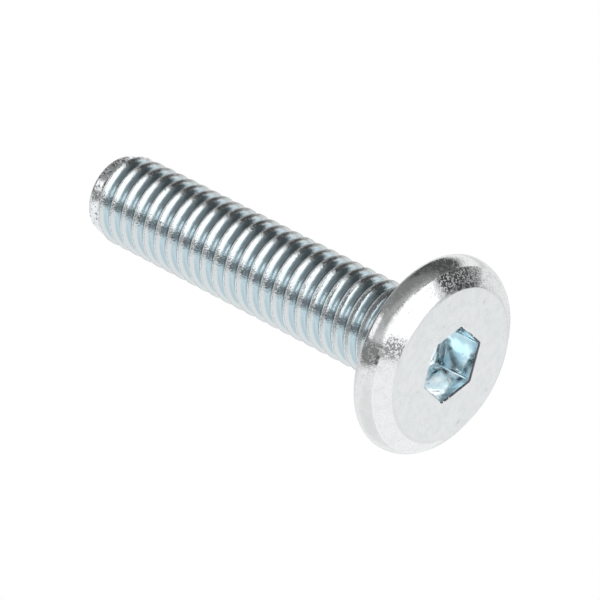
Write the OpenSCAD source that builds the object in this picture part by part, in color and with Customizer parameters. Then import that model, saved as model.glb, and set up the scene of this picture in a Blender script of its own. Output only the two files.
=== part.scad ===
// Flat-head mounting screw: wide low head with a bevelled face, hex socket, full-length metric thread.
// Z = 0 is the head's outer face, +Z runs along the screw's axis to the tip.

/* [Head] */
// Largest diameter of the head, at the widest line of its rim
head_d = 12.28; // [11.4:0.02:16]
// Height of the head, outer face to underside
head_h = 2.2; // [1.9:0.05:3]
// Diameter of the flat outer face, inside the bevel
face_d = 9.65; // [7:0.05:10.6]
// Slope of the bevel against the outer face, in degrees
bevel_angle = 37; // [20:1:50]
// Radius that rounds the edge between the face and the bevel
face_edge_r = 0.4; // [0.1:0.05:0.8]
// Radius of the rim's crown in cross-section, from the bevel to its widest line
rim_r = 1.55; // [1:0.05:2.5]
// Radius that rounds the under-edge, from the rim's widest line to the bearing face
under_edge_r = 0.5; // [0.3:0.05:0.8]

/* [Hex socket] */
// Width of the socket across its flats, for a 4 mm key
socket_af = 4.08; // [3:0.02:4.2]
// Depth of the socket's flat walls
socket_depth = 2.8; // [1.6:0.1:3]
// Angle of the cone at the bottom of the socket, in degrees
socket_point_angle = 120; // [100:1:150]
// Width of the chamfer round the socket's mouth
mouth_chamfer = 0.08; // [0.04:0.01:0.2]

/* [Shank and thread] */
// Length from the underside of the head to the tip
shank_length = 25.9; // [12:0.1:60]
// Diameter over the crests of the thread
thread_d = 5.7; // [5.4:0.05:5.8]
// Pitch of the right-hand thread
thread_pitch = 1; // [0.8:0.05:1.25]
// Diameter of the plain neck between the head and the thread
neck_d = 5.85; // [5.85:0.05:7.4]
// Length of the neck
neck_length = 1; // [0.7:0.1:4]
// Radius of the fillet between the neck and the head's underside
neck_fillet = 0.25; // [0.1:0.05:0.5]
// Length over which the grooves reach their full depth
runout_length = 1.5; // [0.8:0.1:3]
// Diameter of the flat end at the tip
tip_d = 5.06; // [4.6:0.02:5.3]
// Length of the chamfer at the tip
tip_chamfer = 1; // [0.6:0.1:2]

/* [Hidden] */

steel = "gainsboro";
$fn = 96;
overlap = 0.5;                                  // how far a cutter or a joined solid runs on
head_r = head_d / 2;
face_r = face_d / 2;
widest_z = head_h - under_edge_r;                // height of the rim's widest line
neck_r = neck_d / 2;
crest_r = thread_d / 2;
tip_r = tip_d / 2;
tip_z = head_h + shank_length;
thread_z = head_h + neck_length;                // where the first groove starts
socket_corner_r = socket_af / 2 / cos(30);
socket_point_h = socket_af / 2 / tan(socket_point_angle / 2);

// One pitch of the thread, in shares of the pitch: half of the crest's rounded top and its drop to
// the flank, then the groove's hollow bottom: its radius, its depth and where the flank meets it.
crest_half = 0.08;
crest_drop = 0.02;
hollow_r = 0.34;
groove_depth = 0.4;
hollow_edge = 0.28;
hollow_edge_depth = groove_depth - hollow_r + sqrt(pow(hollow_r, 2) - pow(0.5 - hollow_edge, 2));
profile = [
    [-hollow_edge, hollow_edge_depth],
    [-crest_half, crest_drop],
    [0, 0],
    [crest_half, crest_drop],
    [hollow_edge, hollow_edge_depth],
    [0.5, groove_depth],
];

sides = 32;                                     // columns of facets round the thread
steps = len(profile);                           // rows of facets in one pitch
crest_z = 0.18;                                 // height of a crest on the +X side, less whole pitches
first_turn = floor((thread_z - crest_z) / thread_pitch) - 2;
last_turn = ceil((tip_z - crest_z) / thread_pitch) + 1;
rows = (last_turn - first_turn) * steps;

function clamp(value, low, high) = min(max(value, low), high);

// Depth of the groove at height z for a share of the pitch: it fades out towards neck and tip
function fade(z) = min(
    clamp((z - thread_z) / runout_length, 0, 1),
    clamp((tip_z - z) / tip_chamfer, 0, 1)
);
function outer_r(z) = min(crest_r, tip_r + (tip_z - z) * (crest_r - tip_r) / tip_chamfer);

// Corner of the helical grid: column i round the axis, row m along it
function helix_z(i, m) = crest_z + thread_pitch * (
    first_turn + floor(m / steps) + profile[m % steps][0] + i / sides
);
function thread_point(i, m) =
    let (
        z = clamp(helix_z(i, m), thread_z, tip_z),
        r = outer_r(z) - profile[m % steps][1] * thread_pitch * fade(z),
        angle = 360 * i / sides
    )
    [r * cos(angle), r * sin(angle), z];

// Column i + 1 is one turn further on once it has passed the last column
function corner(i, m) = i < sides ? i * rows + m : (i - sides) * rows + min(m + steps, rows - 1);

module thread() {
    root_ring = sides * rows;                   // first index of the ring inside the neck
    points = concat(
        [for (i = [0:sides - 1], m = [0:rows - 1]) thread_point(i, m)],
        [for (i = [0:sides - 1])
            [crest_r * cos(360 * i / sides), crest_r * sin(360 * i / sides), thread_z - overlap]]
    );
    walls = [for (i = [0:sides - 1], m = [0:rows - 2])
        [corner(i, m), corner(i, m + 1), corner(i + 1, m + 1), corner(i + 1, m)]];
    root = [for (i = [0:sides - 1])
        [root_ring + i, corner(i, 0), corner((i + 1) % sides, 0), root_ring + (i + 1) % sides]];
    polyhedron(points, concat(
        walls,
        root,
        [[for (i = [0:sides - 1]) root_ring + i]],
        [[for (i = [sides - 1:-1:0]) corner(i, rows - 1)]]
    ));
}

// Half cross-sections, x outwards from the axis and y along it
module neck_section() {
    square([neck_r, thread_z]);
    difference() {
        square([neck_r + neck_fillet, head_h + neck_fillet]);
        translate([neck_r + neck_fillet, head_h + neck_fillet]) circle(neck_fillet);
    }
}

module rim_section() {
    square([head_r - rim_r, head_h]);
    intersection() {
        translate([head_r - rim_r, widest_z]) circle(rim_r);
        square([head_r, widest_z]);
    }
    translate([0, widest_z]) square([head_r - under_edge_r, under_edge_r]);
    intersection() {
        translate([head_r - under_edge_r, widest_z]) circle(under_edge_r);
        translate([0, widest_z]) square([head_r, under_edge_r]);
    }
}

module head_section() {
    tangent = face_edge_r * tan(bevel_angle / 2);
    reach = head_r + overlap;
    difference() {
        intersection() {
            rim_section();
            polygon([
                [0, 0],
                [face_r, 0],
                [reach, (reach - face_r) * tan(bevel_angle)],
                [reach, head_h + overlap],
                [0, head_h + overlap],
            ]);
        }
        difference() {
            polygon([
                [face_r - tangent, 0],
                [face_r, -overlap],
                [face_r + overlap, 0],
                [face_r + tangent * cos(bevel_angle), tangent * sin(bevel_angle)],
            ]);
            translate([face_r - tangent, face_edge_r]) circle(face_edge_r);
        }
    }
}

module hex_socket() {
    mouth_r = socket_corner_r + 2 * mouth_chamfer / cos(30);
    translate([0, 0, -overlap])
        cylinder(h = overlap + socket_depth, r = socket_corner_r, $fn = 6);
    translate([0, 0, -mouth_chamfer])
        cylinder(h = 2 * mouth_chamfer, r1 = mouth_r, r2 = socket_corner_r, $fn = 6);
    translate([0, 0, socket_depth])
        cylinder(h = socket_point_h, r1 = socket_af / 2, r2 = 0);
}

module screw() {
    color(steel) difference() {
        union() {
            rotate_extrude() {
                head_section();
                neck_section();
            }
            thread();
        }
        hex_socket();
    }
}

screw();
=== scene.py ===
import math

import bmesh
import bpy
from mathutils import Matrix, Vector


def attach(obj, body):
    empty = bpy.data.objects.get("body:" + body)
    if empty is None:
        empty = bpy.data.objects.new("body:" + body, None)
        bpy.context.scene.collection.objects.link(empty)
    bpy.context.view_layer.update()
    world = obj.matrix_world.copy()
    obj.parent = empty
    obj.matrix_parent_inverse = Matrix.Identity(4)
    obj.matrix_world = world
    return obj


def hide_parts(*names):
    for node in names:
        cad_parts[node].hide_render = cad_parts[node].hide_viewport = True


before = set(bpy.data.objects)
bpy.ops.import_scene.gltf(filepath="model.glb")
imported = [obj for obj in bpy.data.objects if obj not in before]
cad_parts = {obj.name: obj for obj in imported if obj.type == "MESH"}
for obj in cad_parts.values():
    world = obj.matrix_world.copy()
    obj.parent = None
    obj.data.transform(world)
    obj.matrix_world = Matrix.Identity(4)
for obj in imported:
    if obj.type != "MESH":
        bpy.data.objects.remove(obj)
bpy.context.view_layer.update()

# Driving dimensions of the screw, in millimetres, the same as in the part's source
HEAD_R = 6.14
HEAD_H = 2.2
FACE_R = 4.825
BEVEL_ANGLE = math.radians(37)
FACE_EDGE_R = 0.4
RIM_R = 1.55
UNDER_EDGE_R = 0.5
SOCKET_HALF = 2.04
SOCKET_DEPTH = 2.8
SOCKET_POINT_ANGLE = math.radians(120)
NECK_R = 2.925
NECK_LENGTH = 1.0
NECK_FILLET = 0.25
CREST_R = 2.85
PITCH = 1.0
CREST_Z = 0.18
RUNOUT = 1.5
SHANK_LENGTH = 25.9
TIP_R = 2.53
TIP_CHAMFER = 1.0
MM = 0.001

# Small edges as this script has them: rounds between bevel and rim, in the socket's corners, at its
# mouth and at the neck's end, and a lip at the foot of the socket's walls
BEVEL_EDGE = 0.03
SOCKET_CORNER_R = 0.12
MOUTH_R = 0.09
NECK_EDGE = 0.05
LEDGE = 0.07

# The thread's section, in shares of the pitch: half of the crest's flat, the radii that round crest
# and root, the flank's slope, and the fine seam along the crest
CREST_FLAT = 0.03
CREST_ROUND = 0.035
ROOT_ROUND = 0.45
FLANK_HALF_ANGLE = math.radians(34)
SEAM_HALF = 0.02
SEAM_DEPTH = 0.02

# Heights and radii that follow from the dimensions
SOCKET_POINT_H = SOCKET_HALF / math.tan(SOCKET_POINT_ANGLE / 2)
SOCKET_REACH = SOCKET_HALF / math.cos(math.radians(30)) + MOUTH_R
THREAD_Z = HEAD_H + NECK_LENGTH
TIP_Z = HEAD_H + SHANK_LENGTH
WIDEST_Z = HEAD_H - UNDER_EDGE_R
RIM_CENTRE = (HEAD_R - RIM_R, WIDEST_Z)

# Mesh: columns round the axis, crowded towards the socket's corners, the distance from the tip's edge
# to the next ring on its flat end, and how close, in metres, two points are the same
COLUMNS_PER_SIDE = 20
CORNER_CROWDING = 0.75
TIP_RING = 0.06
MERGE_M = 1e-8


# Geometry helpers: points are (radius, height) pairs in millimetres
def clamp(value, low, high):
    return min(max(value, low), high)


def arc(centre, radius, start, end, steps):
    points = []
    for i in range(steps + 1):
        a = start + (end - start) * i / steps
        points.append((centre[0] + radius * math.cos(a), centre[1] + radius * math.sin(a)))
    return points


def rounded_corner(before, corner, after, steps):
    points = []
    for i in range(steps + 1):
        t = i / steps
        points.append(tuple(
            (1 - t) ** 2 * p + 2 * t * (1 - t) * q + t ** 2 * r
            for p, q, r in zip(before, corner, after)
        ))
    return points


def column_angles():
    angles = []
    for side in range(6):
        for i in range(COLUMNS_PER_SIDE):
            s = i / COLUMNS_PER_SIDE
            crowded = s - CORNER_CROWDING * math.sin(2 * math.pi * s) / (2 * math.pi)
            angles.append(math.radians(60) * (side + crowded))
    return angles


def hex_radius(angle, half_width, corner_round):
    """Distance from the axis to a hexagon with rounded corners, the first of them on +X."""
    sixth = math.radians(60)
    off_corner = (angle + sixth / 2) % sixth - sixth / 2
    arc_centre = (half_width - corner_round) / math.cos(sixth / 2)
    tangent_angle = math.atan2(
        corner_round * math.sin(sixth / 2),
        arc_centre + corner_round * math.cos(sixth / 2),
    )
    if abs(off_corner) < tangent_angle:
        side = arc_centre * math.sin(off_corner)
        return arc_centre * math.cos(off_corner) + math.sqrt(corner_round ** 2 - side ** 2)
    return half_width / math.cos(sixth / 2 - abs(off_corner))


def bevel_corner():
    """Where the bevel meets the rim's crown."""
    along = (math.cos(BEVEL_ANGLE), math.sin(BEVEL_ANGLE))
    to_start = (FACE_R - RIM_CENTRE[0], -RIM_CENTRE[1])
    half_b = to_start[0] * along[0] + to_start[1] * along[1]
    c = to_start[0] ** 2 + to_start[1] ** 2 - RIM_R ** 2
    s = -half_b + math.sqrt(half_b ** 2 - c)
    return (FACE_R + s * along[0], s * along[1])


BEVEL_CORNER = bevel_corner()


def head_outline():
    """Half section of the head from the edge of its flat face to the start of the thread."""
    tangent = FACE_EDGE_R * math.tan(BEVEL_ANGLE / 2)
    down = -math.pi / 2
    points = arc((FACE_R - tangent, FACE_EDGE_R), FACE_EDGE_R, down, down + BEVEL_ANGLE, 8)
    along = (math.cos(BEVEL_ANGLE), math.sin(BEVEL_ANGLE))
    before = (BEVEL_CORNER[0] - BEVEL_EDGE * along[0], BEVEL_CORNER[1] - BEVEL_EDGE * along[1])
    corner_angle = math.atan2(BEVEL_CORNER[1] - RIM_CENTRE[1], BEVEL_CORNER[0] - RIM_CENTRE[0])
    rim = arc(RIM_CENTRE, RIM_R, corner_angle + BEVEL_EDGE / RIM_R, 0, 16)
    points.append(((points[-1][0] + before[0]) / 2, (points[-1][1] + before[1]) / 2))
    points += rounded_corner(before, BEVEL_CORNER, rim[0], 4)
    points += rim[1:]
    points += arc((HEAD_R - UNDER_EDGE_R, WIDEST_Z), UNDER_EDGE_R, 0, math.pi / 2, 12)[1:]
    points.append((NECK_R + 3 * NECK_FILLET, HEAD_H))
    points += arc((NECK_R + NECK_FILLET, HEAD_H + NECK_FILLET), NECK_FILLET, down, -math.pi, 6)
    points += rounded_corner((NECK_R, THREAD_Z - NECK_EDGE), (NECK_R, THREAD_Z), (CREST_R, THREAD_Z), 3)
    return points


def socket_rings():
    """Rings from the socket's point to the flat face: (half width, corner radius, height).

    A ring whose corner radius is its half width is a circle.
    """
    rings = []
    for share in (0.02, 0.25, 0.5, 0.75, 0.97, 1):
        half = share * SOCKET_HALF
        rings.append((half, half, SOCKET_DEPTH + SOCKET_POINT_H * (1 - share)))
    rings.append((SOCKET_HALF - LEDGE, SOCKET_CORNER_R, SOCKET_DEPTH))
    rings.append((SOCKET_HALF, SOCKET_CORNER_R, SOCKET_DEPTH - LEDGE))
    for share in (0.9, 0.6, 0.3):
        rings.append((SOCKET_HALF, SOCKET_CORNER_R, SOCKET_DEPTH * share))
    for outward, z in arc((MOUTH_R, MOUTH_R), MOUTH_R, -math.pi, -math.pi / 2, 6):
        rings.append((SOCKET_HALF + outward, SOCKET_CORNER_R + outward, z))
    return rings


def section_phases():
    """Places across one pitch, in shares of it from the crest, where the thread's section has a point."""
    half = [0.0, SEAM_HALF / 2, SEAM_HALF, CREST_FLAT]
    half += [CREST_FLAT + CREST_ROUND * math.sin(math.radians(a)) for a in (18, 37, 56)]
    half += [0.5 - ROOT_ROUND * math.sin(math.radians(a)) for a in (56, 44, 33, 22, 11)]
    return [-p for p in reversed(half[1:])] + half + [0.5]


def groove(phase):
    """Depth below the crest, in shares of the pitch: seam, rounded crest, straight flank, rounded root."""
    p = abs(phase)
    if p <= CREST_FLAT:
        return SEAM_DEPTH * (1 - (p / SEAM_HALF) ** 2) ** 2 if p < SEAM_HALF else 0
    shoulder = CREST_FLAT + CREST_ROUND * math.cos(FLANK_HALF_ANGLE)
    if p <= shoulder:
        return CREST_ROUND - math.sqrt(CREST_ROUND ** 2 - (p - CREST_FLAT) ** 2)
    root = 0.5 - ROOT_ROUND * math.cos(FLANK_HALF_ANGLE)
    top = CREST_ROUND * (1 - math.sin(FLANK_HALF_ANGLE))
    flank = top + (min(p, root) - shoulder) / math.tan(FLANK_HALF_ANGLE)
    if p <= root:
        return flank
    root_centre = flank - ROOT_ROUND * math.sin(FLANK_HALF_ANGLE)
    return root_centre + math.sqrt(ROOT_ROUND ** 2 - (0.5 - p) ** 2)


def thread_radius(phase, z):
    outer = min(CREST_R, TIP_R + (TIP_Z - z) * (CREST_R - TIP_R) / TIP_CHAMFER)
    fade = min(clamp((z - THREAD_Z) / RUNOUT, 0, 1), clamp((TIP_Z - z) / TIP_CHAMFER, 0, 1))
    return outer - groove(phase) * PITCH * fade


# The screw's mesh: rings of vertices, one column per angle
class Loft:
    def __init__(self):
        self.bm = bmesh.new()
        self.angles = column_angles()
        self.last = None

    def vertex(self, angle, r, z):
        return self.bm.verts.new((r * math.cos(angle) * MM, r * math.sin(angle) * MM, z * MM))

    def ring(self, radii, z):
        verts = [self.vertex(angle, r, z) for angle, r in zip(self.angles, radii)]
        if self.last:
            self.join(self.last, verts)
        self.last = verts

    def round_ring(self, r, z):
        self.ring([r] * len(self.angles), z)

    def join(self, low, high):
        count = len(low)
        for i in range(count):
            k = (i + 1) % count
            self.bm.faces.new((low[i], low[k], high[k], high[i]))

    def cap(self, z):
        centre = self.bm.verts.new((0, 0, z * MM))
        count = len(self.last)
        for i in range(count):
            self.bm.faces.new((self.last[i], self.last[(i + 1) % count], centre))

    def face_of_distinct(self, corners):
        """Face through the corners that don't lie on one another, if three or more are left."""
        distinct = []
        for v in corners:
            if all((v.co - w.co).length > MERGE_M for w in distinct):
                distinct.append(v)
        if len(distinct) > 2:
            self.bm.faces.new(distinct)


def add_socket_and_face(loft):
    for half, corner, z in socket_rings():
        is_first = loft.last is None
        loft.ring([hex_radius(a, half, corner) for a in loft.angles], z)
        if is_first:
            loft.cap(SOCKET_DEPTH + SOCKET_POINT_H)
    mouth = [hex_radius(a, SOCKET_HALF + MOUTH_R, SOCKET_CORNER_R + MOUTH_R) for a in loft.angles]
    face_edge = head_outline()[0][0]
    for share in (0.04, 0.3, 0.7, 0.96):
        loft.ring([m + (face_edge - m) * share for m in mouth], 0)


def add_thread(loft):
    """Helical grid: the last column joins the first one, one turn further on."""
    phases = section_phases()
    first_turn = math.floor((THREAD_Z - CREST_Z) / PITCH) - 2
    last_turn = math.ceil((TIP_Z - CREST_Z) / PITCH) + 1
    rows = [(turn, phase) for turn in range(first_turn, last_turn) for phase in phases]
    grid = []
    for angle in loft.angles:
        column = []
        for turn, phase in rows:
            z = clamp(CREST_Z + PITCH * (turn + phase + angle / (2 * math.pi)), THREAD_Z, TIP_Z)
            column.append(loft.vertex(angle, thread_radius(phase, z), z))
        grid.append(column)
    end = len(rows) - 1
    for i, near in enumerate(grid):
        wraps = i + 1 == len(grid)
        far = grid[0] if wraps else grid[i + 1]
        shift = len(phases) if wraps else 0
        for m in range(end):
            loft.face_of_distinct((
                near[m], far[min(m + shift, end)], far[min(m + 1 + shift, end)], near[m + 1],
            ))
    loft.last = [column[-1] for column in grid]


def build_screw():
    loft = Loft()
    add_socket_and_face(loft)
    for r, z in head_outline():
        loft.round_ring(r, z)
    add_thread(loft)
    loft.round_ring(TIP_R - TIP_RING, TIP_Z)
    loft.round_ring(TIP_R / 2, TIP_Z)
    loft.cap(TIP_Z)
    bmesh.ops.remove_doubles(loft.bm, verts=loft.bm.verts, dist=MERGE_M)
    bmesh.ops.recalc_face_normals(loft.bm, faces=loft.bm.faces)
    mesh = bpy.data.meshes.new("screw_body")
    loft.bm.to_mesh(mesh)
    loft.bm.free()
    mesh.shade_smooth()
    obj = bpy.data.objects.new("screw_body", mesh)
    bpy.context.scene.collection.objects.link(obj)
    return obj


# Material nodes. A colour may be given as three numbers.
class Nodes:
    def __init__(self, tree):
        self.tree = tree

    def new(self, kind, **settings):
        node = self.tree.nodes.new(kind)
        for name, value in settings.items():
            setattr(node, name, value)
        return node

    def put(self, socket, value):
        if isinstance(value, bpy.types.NodeSocket):
            self.tree.links.new(value, socket)
        elif value is not None:
            socket.default_value = value

    def math(self, operation, a, b=None, c=None):
        node = self.new("ShaderNodeMath", operation=operation)
        for socket, value in zip(node.inputs, (a, b, c)):
            self.put(socket, value)
        return node.outputs[0]

    def vector(self, operation, a, b=None):
        node = self.new("ShaderNodeVectorMath", operation=operation)
        self.put(node.inputs[0], a)
        self.put(node.inputs[1], b)
        return node.outputs["Value" if operation in ("DOT_PRODUCT", "LENGTH") else "Vector"]

    def ramp(self, value, low, high, to_low=0.0, to_high=1.0):
        """Smooth step from to_low, where value is low, to to_high, where it is high."""
        node = self.new("ShaderNodeMapRange", interpolation_type="SMOOTHSTEP")
        names = ("Value", "From Min", "From Max", "To Min", "To Max")
        for name, item in zip(names, (value, low, high, to_low, to_high)):
            self.put(node.inputs[name], item)
        return node.outputs[0]

    def mix(self, share, a, b):
        node = self.new("ShaderNodeMix", data_type="RGBA")
        self.put(node.inputs[0], share)
        for socket, item in zip(node.inputs[6:8], (a, b)):
            self.put(socket, (*item, 1) if isinstance(item, tuple) else item)
        return node.outputs[2]

    def noise(self, where, size, detail=2.0, roughness=0.5, curl=0.0):
        """Noise whose spots are about size across, in the unit of where."""
        node = self.new("ShaderNodeTexNoise")
        self.put(node.inputs["Vector"], where)
        node.inputs["Scale"].default_value = 1 / size
        node.inputs["Detail"].default_value = detail
        node.inputs["Roughness"].default_value = roughness
        node.inputs["Distortion"].default_value = curl
        return node.outputs["Fac"]

    def bump(self, height, depth, normal=None):
        """Bump from a height of 0 to 1 that is depth millimetres tall."""
        node = self.new("ShaderNodeBump")
        node.inputs["Distance"].default_value = depth * MM
        self.put(node.inputs["Height"], height)
        self.put(node.inputs["Normal"], normal)
        return node.outputs["Normal"]


# Zinc plating: coordinates in millimetres, so that every size below is a real one
# Dark colour of dirt and painted shade in the pits of the tip
PIT_DIRT_AND_SHADE = (0.25, 0.26, 0.28)
SPECK_COLOUR = (0.56, 0.56, 0.58)
SPECK_SIZE = 0.45
MOUTH_BRIGHT = (0.85, 0.87, 0.88)
# Painted shade on one side of the socket's mouth: its dark colour, and the side where it lies
MOUTH_PAINTED_SHADE = (0.16, 0.15, 0.17)
MOUTH_PAINTED_SHADE_SIDE = Vector((-0.25, 0.97, 0.0))
THREAD_WARM = (0.70, 0.745, 0.76)
# Darker blue of the painted shade in the bottom of the thread's groove
THREAD_ROOT_PAINTED_SHADE = (0.54, 0.68, 0.74)
# Lighter colours of the painted highlight on the thread's crest
CREST_PAINTED_HIGHLIGHT = (0.91, 0.945, 0.955)
CREST_PAINTED_HIGHLIGHT_DIM = (0.80, 0.83, 0.84)
SEAM_COLOUR = (0.46, 0.45, 0.45)
CREST_HALF = 0.05
STREAK_STRETCH = 0.12


def start_material(name):
    material = bpy.data.materials.new(name)
    material.use_nodes = True
    n = Nodes(material.node_tree)
    bsdf = material.node_tree.nodes["Principled BSDF"]
    bsdf.inputs["Metallic"].default_value = 1.0
    where = n.new("ShaderNodeTexCoord").outputs["Object"]
    in_mm = n.vector("MULTIPLY", where, (1 / MM, 1 / MM, 1 / MM))
    return material, n, bsdf, in_mm


def plating(
    name, tint, shade, gloss, satin, spot, dimple, grain, grain_depth,
    curl=0.0, pits=None, flecks=(0.42, 0.62),
):
    """Bright zinc: glossy ground with satin spots and dimples, grain, and broad clouds of a second tint.

    gloss and satin are roughnesses, and flecks is the noise between which one turns into the other.
    Dimples are rounded, or pits in a flat ground where pits gives the noise at their walls; dirt and
    painted shade colour the pits dark.
    """
    material, n, bsdf, in_mm = start_material(name)
    broad = n.noise(in_mm, spot * 3, detail=3)
    spots = n.noise(in_mm, spot, detail=1.5, roughness=0.4, curl=curl)
    fine = n.noise(in_mm, grain, detail=1)
    colour = n.mix(n.ramp(broad, 0.35, 0.7), tint, shade)
    height = spots
    if pits:
        height = n.ramp(spots, *pits)
        # Dirt and painted shade: the pits are coloured dark
        colour = n.mix(n.ramp(height, 0.0, 0.3), PIT_DIRT_AND_SHADE, colour)
    specks = n.ramp(n.noise(in_mm, SPECK_SIZE), 0.72, 0.75)
    n.put(bsdf.inputs["Base Color"], n.mix(specks, colour, SPECK_COLOUR))
    n.put(bsdf.inputs["Roughness"], n.ramp(spots, *flecks, gloss, satin))
    n.put(bsdf.inputs["Normal"], n.bump(fine, grain_depth, n.bump(height, dimple)))
    return material


def mouth_plating(name):
    """Socket's mouth: rolled, with painted shade, dark and broken by noise, along one side, and bright
    elsewhere.
    """
    material, n, bsdf, in_mm = start_material(name)
    aside = n.vector("DOT_PRODUCT", n.vector("NORMALIZE", in_mm), MOUTH_PAINTED_SHADE_SIDE)
    spots = n.noise(in_mm, 0.20)
    # Painted shade: the mouth turns dark towards one side, broken by noise
    mouth_painted_shade = n.ramp(n.math("MULTIPLY_ADD", spots, 1.6, aside), 0.98, 1.12)
    n.put(bsdf.inputs["Base Color"], n.mix(mouth_painted_shade, MOUTH_BRIGHT, MOUTH_PAINTED_SHADE))
    n.put(bsdf.inputs["Roughness"], n.ramp(spots, 0.4, 0.6, to_low=0.15, to_high=0.35))
    n.put(bsdf.inputs["Normal"], n.bump(spots, 0.03))
    return material


def thread_plating(name):
    """Rolled thread: warm on the groove's shoulders, with painted shade, darker and blue, in its bottom,
    and a painted highlight, a lighter colour, on the rough and seamed crest.
    """
    material, n, bsdf, in_mm = start_material(name)
    split = n.new("ShaderNodeSeparateXYZ")
    n.put(split.inputs[0], in_mm)
    x, y, z = split.outputs
    angle = n.math("ARCTAN2", y, x)
    climb = n.math("MULTIPLY", angle, PITCH / (2 * math.pi))
    above_helix = n.math("SUBTRACT", n.math("SUBTRACT", z, climb), CREST_Z)
    off_crest = n.math("ABSOLUTE", n.math("WRAP", above_helix, 0.5 * PITCH, -0.5 * PITCH))
    unrolled = n.new("ShaderNodeCombineXYZ")
    n.put(unrolled.inputs[0], n.math("MULTIPLY", angle, CREST_R * STREAK_STRETCH))
    n.put(unrolled.inputs[1], above_helix)

    spots = n.noise(in_mm, 0.22, detail=4, roughness=0.6)
    grain = n.noise(in_mm, 0.08, detail=1)
    flecks = n.noise(in_mm, 0.13, detail=1, roughness=0.4, curl=1.2)
    streaks = n.noise(unrolled.outputs[0], 0.05, detail=3, roughness=0.6)

    ragged = n.math("MULTIPLY_ADD", n.math("SUBTRACT", spots, 0.5), 0.05, off_crest)
    off_line = n.math("ABSOLUTE", n.math("SUBTRACT", ragged, CREST_HALF))
    crest = n.ramp(ragged, CREST_HALF - 0.005, CREST_HALF + 0.015, to_low=1, to_high=0)
    line = n.ramp(off_line, 0.008, 0.018, to_low=1, to_high=0)
    # Painted shade: the groove turns darker and bluer towards its root
    root_painted_shade = n.ramp(ragged, 0.17, 0.27)

    groove_colour_with_shade = n.mix(root_painted_shade, THREAD_WARM, THREAD_ROOT_PAINTED_SHADE)
    # Painted highlight: the crest is coloured lighter than the groove
    crest_painted_highlight = n.mix(n.ramp(grain, 0.4, 0.6), CREST_PAINTED_HIGHLIGHT_DIM, CREST_PAINTED_HIGHLIGHT)
    colour = n.mix(crest, groove_colour_with_shade, crest_painted_highlight)
    seam = n.math("MULTIPLY", line, n.ramp(grain, 0.42, 0.54))
    n.put(bsdf.inputs["Base Color"], n.mix(seam, colour, SEAM_COLOUR))
    gloss = n.ramp(spots, 0.40, 0.62, to_low=0.05, to_high=0.12)
    n.put(bsdf.inputs["Roughness"], n.math("MULTIPLY_ADD", crest, 0.16, gloss))
    worn_crest = n.math("SUBTRACT", n.math("MULTIPLY", grain, crest), line)
    normal = n.bump(worn_crest, 0.014, n.bump(streaks, 0.004))
    n.put(bsdf.inputs["Normal"], n.bump(flecks, 0.012, normal))
    return material


def platings():
    """Material of each zone of the screw; where a zone lies is said in zone_of."""
    return {
        "face": plating(
            "zinc_face", tint=(0.81, 0.83, 0.835), shade=(0.77, 0.80, 0.81),
            gloss=0.26, satin=0.40, spot=0.45, dimple=0.010, grain=0.14, grain_depth=0.002,
        ),
        # Painted shade: a darker line along the rounded edge of the face
        "face_edge": plating(
            "zinc_face_edge_painted_shade", tint=(0.74, 0.76, 0.77), shade=(0.78, 0.80, 0.81),
            gloss=0.16, satin=0.30, spot=0.30, dimple=0.006, grain=0.10, grain_depth=0.001,
        ),
        # Painted light: the bevel's tint is a little lighter than the face's and the rim's
        "bevel": plating(
            "zinc_bevel", tint=(0.87, 0.885, 0.89), shade=(0.82, 0.835, 0.85),
            gloss=0.03, satin=0.42, spot=0.18, dimple=0.004, grain=0.07, grain_depth=0.0008,
            curl=1.5, flecks=(0.50, 0.56),
        ),
        # Painted highlight: a light line along the edge between bevel and rim
        "ridge_highlight": plating(
            "zinc_ridge", tint=(0.93, 0.94, 0.94), shade=(0.88, 0.89, 0.90),
            gloss=0.20, satin=0.30, spot=0.20, dimple=0.006, grain=0.05, grain_depth=0.001,
        ),
        "rim": plating(
            "zinc_rim", tint=(0.82, 0.835, 0.84), shade=(0.78, 0.795, 0.80),
            gloss=0.05, satin=0.32, spot=0.20, dimple=0.005, grain=0.07, grain_depth=0.001,
            curl=1.2, flecks=(0.52, 0.58),
        ),
        "plain": plating(
            "zinc_plain", tint=(0.80, 0.82, 0.83), shade=(0.74, 0.77, 0.78),
            gloss=0.20, satin=0.34, spot=0.30, dimple=0.006, grain=0.12, grain_depth=0.002,
        ),
        "mouth": mouth_plating("zinc_mouth"),
        "socket": plating(
            "zinc_socket", tint=(0.93, 0.96, 0.97), shade=(0.62, 0.80, 0.875),
            gloss=0.07, satin=0.20, spot=0.60, dimple=0.024, grain=0.10, grain_depth=0.001,
        ),
        "ledge": plating(
            "zinc_ledge", tint=(0.95, 0.96, 0.96), shade=(0.80, 0.85, 0.86),
            gloss=0.20, satin=0.45, spot=0.15, dimple=0.050, grain=0.05, grain_depth=0.004,
        ),
        "thread": thread_plating("zinc_thread"),
        "tip": plating(
            "zinc_tip", tint=(0.92, 0.94, 0.95), shade=(0.82, 0.86, 0.88),
            gloss=0.04, satin=0.14, spot=0.22, dimple=0.030, grain=0.07, grain_depth=0.004,
            curl=0.8, pits=(0.34, 0.50),
        ),
    }


# Zones are told apart by a face's centre. The whole thread is farther from the axis than
# THREAD_INNER_R, and the socket's point is nearer.
THREAD_INNER_R = 2.2
NEAR = 0.001
NEAR_UNDERSIDE = 0.01


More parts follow.
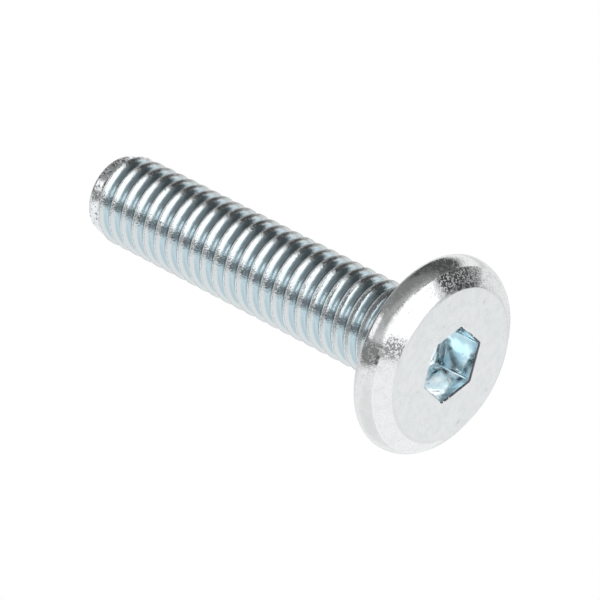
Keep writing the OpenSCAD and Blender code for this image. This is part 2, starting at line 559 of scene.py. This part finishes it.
def head_zone_of(radius, z):
    if radius < SOCKET_REACH and z > NEAR:
        if z < MOUTH_R:
            return "mouth"
        return "ledge" if SOCKET_DEPTH - LEDGE < z < SOCKET_DEPTH + NEAR else "socket"
    if z < NEAR:
        return "face"
    if radius < FACE_R + FACE_EDGE_R * math.sin(BEVEL_ANGLE / 2) and z < FACE_EDGE_R / 4:
        return "face_edge"
    if z < BEVEL_CORNER[1] - BEVEL_EDGE:
        return "bevel"
    # The ridge between bevel and rim carries a painted highlight
    return "ridge_highlight" if z < BEVEL_CORNER[1] + BEVEL_EDGE else "rim"


def zone_of(face):
    centre = face.center / MM
    radius = math.hypot(centre.x, centre.y)
    if centre.z > TIP_Z - NEAR or abs(centre.z - HEAD_H) < NEAR_UNDERSIDE:
        return "plain"
    if centre.z > TIP_Z - TIP_CHAMFER:
        return "tip"
    if centre.z > THREAD_Z and radius > THREAD_INNER_R:
        return "thread"
    if centre.z > HEAD_H and radius > SOCKET_REACH:
        return "rim"
    return head_zone_of(radius, centre.z)


def dress(obj):
    materials = platings()
    zones = list(materials)
    for zone in zones:
        obj.data.materials.append(materials[zone])
    for face in obj.data.polygons:
        face.material_index = zones.index(zone_of(face))


screw = build_screw()
dress(screw)
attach(screw, "root")
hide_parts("screw")

# Floor: a disc just under the head's face. The photograph's camera looks up from under it.
FLOOR_R = 120
FLOOR_Z = -0.02
FLOOR_PALE = (0.93, 0.935, 0.94)
FLOOR_PALER = (0.95, 0.95, 0.95)


def floor_material():
    """Pale floor for a camera above it, with the screw's shadow; it fades out into the white background."""
    material = bpy.data.materials.new("floor")
    material.use_nodes = True
    n = Nodes(material.node_tree)
    n.tree.nodes.remove(n.tree.nodes["Principled BSDF"])
    where = n.new("ShaderNodeTexCoord").outputs["Object"]
    clouds = n.noise(where, FLOOR_R * MM * 0.3, detail=3)
    pale = n.new("ShaderNodeBsdfDiffuse")
    n.put(pale.inputs["Color"], n.mix(clouds, FLOOR_PALE, FLOOR_PALER))
    clear = n.new("ShaderNodeBsdfTransparent")
    from_above = n.math("SUBTRACT", 1.0, n.new("ShaderNodeNewGeometry").outputs["Backfacing"])
    seen = n.math("MULTIPLY", from_above, n.new("ShaderNodeLightPath").outputs["Is Camera Ray"])
    distance = n.vector("LENGTH", where)
    near = n.ramp(distance, FLOOR_R * MM * 0.4, FLOOR_R * MM, to_low=1.0, to_high=0.0)
    both = n.new("ShaderNodeMixShader")
    n.put(both.inputs[0], n.math("MULTIPLY", seen, near))
    n.put(both.inputs[1], clear.outputs[0])
    n.put(both.inputs[2], pale.outputs[0])
    n.put(n.tree.nodes["Material Output"].inputs["Surface"], both.outputs[0])
    return material


def build_floor():
    bm = bmesh.new()
    bmesh.ops.create_circle(bm, cap_ends=True, segments=96, radius=FLOOR_R * MM)
    mesh = bpy.data.meshes.new("floor")
    bm.to_mesh(mesh)
    bm.free()
    mesh.materials.append(floor_material())
    obj = bpy.data.objects.new("floor", mesh)
    obj.location.z = FLOOR_Z * MM
    bpy.context.scene.collection.objects.link(obj)
    return obj


floor = build_floor()

# Soft lamp that lights the floor round the screw. The metal doesn't mirror it.
LAMP_AT = Vector((100, 100, 210)) * MM
LAMP_SIZE = 160 * MM
LAMP_WATTS = 0.26


def add_lamp():
    data = bpy.data.lights.new("soft_box", "AREA")
    data.shape = "DISK"
    data.size = LAMP_SIZE
    data.energy = LAMP_WATTS
    lamp = bpy.data.objects.new("soft_box", data)
    lamp.location = LAMP_AT
    lamp.rotation_euler = (-LAMP_AT).to_track_quat("-Z", "Y").to_euler()
    lamp.visible_glossy = False
    bpy.context.scene.collection.objects.link(lamp)


add_lamp()

# Camera at the photograph's viewing angle
CAMERA_AT = Vector((63.322, -162.762, -120.266)) * MM
CAMERA_RIGHT = Vector((0.229957, 0.666831, -0.708841))
CAMERA_UP = Vector((0.928349, 0.068265, 0.365388))
CAMERA_BACK = CAMERA_RIGHT.cross(CAMERA_UP)
FOCAL_PX = 3692.55
PICTURE_PX = 600
SENSOR_MM = 36


def add_camera():
    data = bpy.data.cameras.new("camera")
    data.sensor_fit = "HORIZONTAL"
    data.sensor_width = SENSOR_MM
    data.lens = SENSOR_MM * FOCAL_PX / PICTURE_PX
    data.clip_start = 0.001
    data.clip_end = 10
    camera = bpy.data.objects.new("camera", data)
    turn = Matrix((CAMERA_RIGHT, CAMERA_UP, CAMERA_BACK)).transposed()
    camera.matrix_world = Matrix.Translation(CAMERA_AT) @ turn.to_4x4()
    bpy.context.scene.collection.objects.link(camera)
    bpy.context.scene.camera = camera


add_camera()

# Studio: a white tent with soft boxes and dark cards, each placed by where it lies seen from the screw.
# Angles are in degrees from the line to the camera: azimuth to its right, then elevation above it.
CARDS = [
    # azimuth, elevation, roll, half width, half height, softness, brightness
    (-2, 39, -21, 39, 13, 0.10, 0.42),
    (-78, 21, 0, 21, 15, 0.06, 1.15),
    (-1, 5, -4, 12, 19, 0.10, 1.30),
    (34, 10, 7, 26, 27, 0.08, 1.60),
    (94, 21, -29, 22, 32, 0.03, 0.07),
    (118, 60, -51, 43, 24, 0.10, 0.09),
    (-118, 26, -36, 14, 14, 0.06, 0.20),
    (-56, -5, 20, 59, 13, 0.06, 0.24),
    (-3, -25, 5, 17, 6, 0.04, 0.14),
    (25, -23, 0, 9, 8, 0.03, 0.36),
    (143, 2, -7, 38, 20, 0.04, 0.88),
    (150, 38, 0, 40, 12, 0.10, 1.00),
    (-105, -62, 0, 40, 18, 0.08, 0.87),
    (178, -4, 0, 16, 14, 0.06, 0.74),
]

# The tent itself: elevation and brightness where it is lightest and where it is darkest
LOW_LIGHT = (-30, 0.97)
HIGH_LIGHT = (70, 0.24)


def studio_direction(azimuth, elevation):
    a = math.radians(azimuth)
    e = math.radians(elevation)
    level = CAMERA_RIGHT * math.sin(a) + CAMERA_BACK * math.cos(a)
    return level * math.cos(e) + CAMERA_UP * math.sin(e)


def card_share(n, direction, azimuth, elevation, roll, half_width, half_height, softness):
    """1 where a direction meets the card, 0 beside it, with a soft edge between."""
    forward = studio_direction(azimuth, elevation)
    side = studio_direction(azimuth + 90, 0)
    top = forward.cross(side) * -1
    r = math.radians(roll)
    across = side * math.cos(r) + top * math.sin(r)
    up = top * math.cos(r) - side * math.sin(r)
    depth = n.math("MAXIMUM", n.vector("DOT_PRODUCT", direction, forward), 0.001)
    share = None
    for axis, half in ((across, half_width), (up, half_height)):
        offset = n.math("ABSOLUTE", n.math("DIVIDE", n.vector("DOT_PRODUCT", direction, axis), depth))
        edge = math.tan(math.radians(half))
        blur = softness * (1 + edge)
        inside = n.ramp(offset, edge - blur, edge + blur, to_low=1.0, to_high=0.0)
        share = n.math("MULTIPLY", share, inside) if share else inside
    return share


def build_studio():
    world = bpy.data.worlds.new("studio")
    bpy.context.scene.world = world
    world.use_nodes = True
    n = Nodes(world.node_tree)
    direction = n.new("ShaderNodeTexCoord").outputs["Generated"]
    height = n.vector("DOT_PRODUCT", direction, CAMERA_UP)
    low_edge, high_edge = (math.sin(math.radians(end[0])) for end in (LOW_LIGHT, HIGH_LIGHT))
    light = n.ramp(height, low_edge, high_edge, LOW_LIGHT[1], HIGH_LIGHT[1])
    for *shape, brightness in CARDS:
        share = card_share(n, direction, *shape)
        light = n.math("MULTIPLY_ADD", share, n.math("SUBTRACT", brightness, light), light)
    by_camera = n.new("ShaderNodeLightPath").outputs["Is Camera Ray"]
    n.put(n.tree.nodes["Background"].inputs["Color"], n.mix(by_camera, light, (1, 1, 1)))


build_studio()
bpy.context.scene.view_settings.view_transform = "Standard"
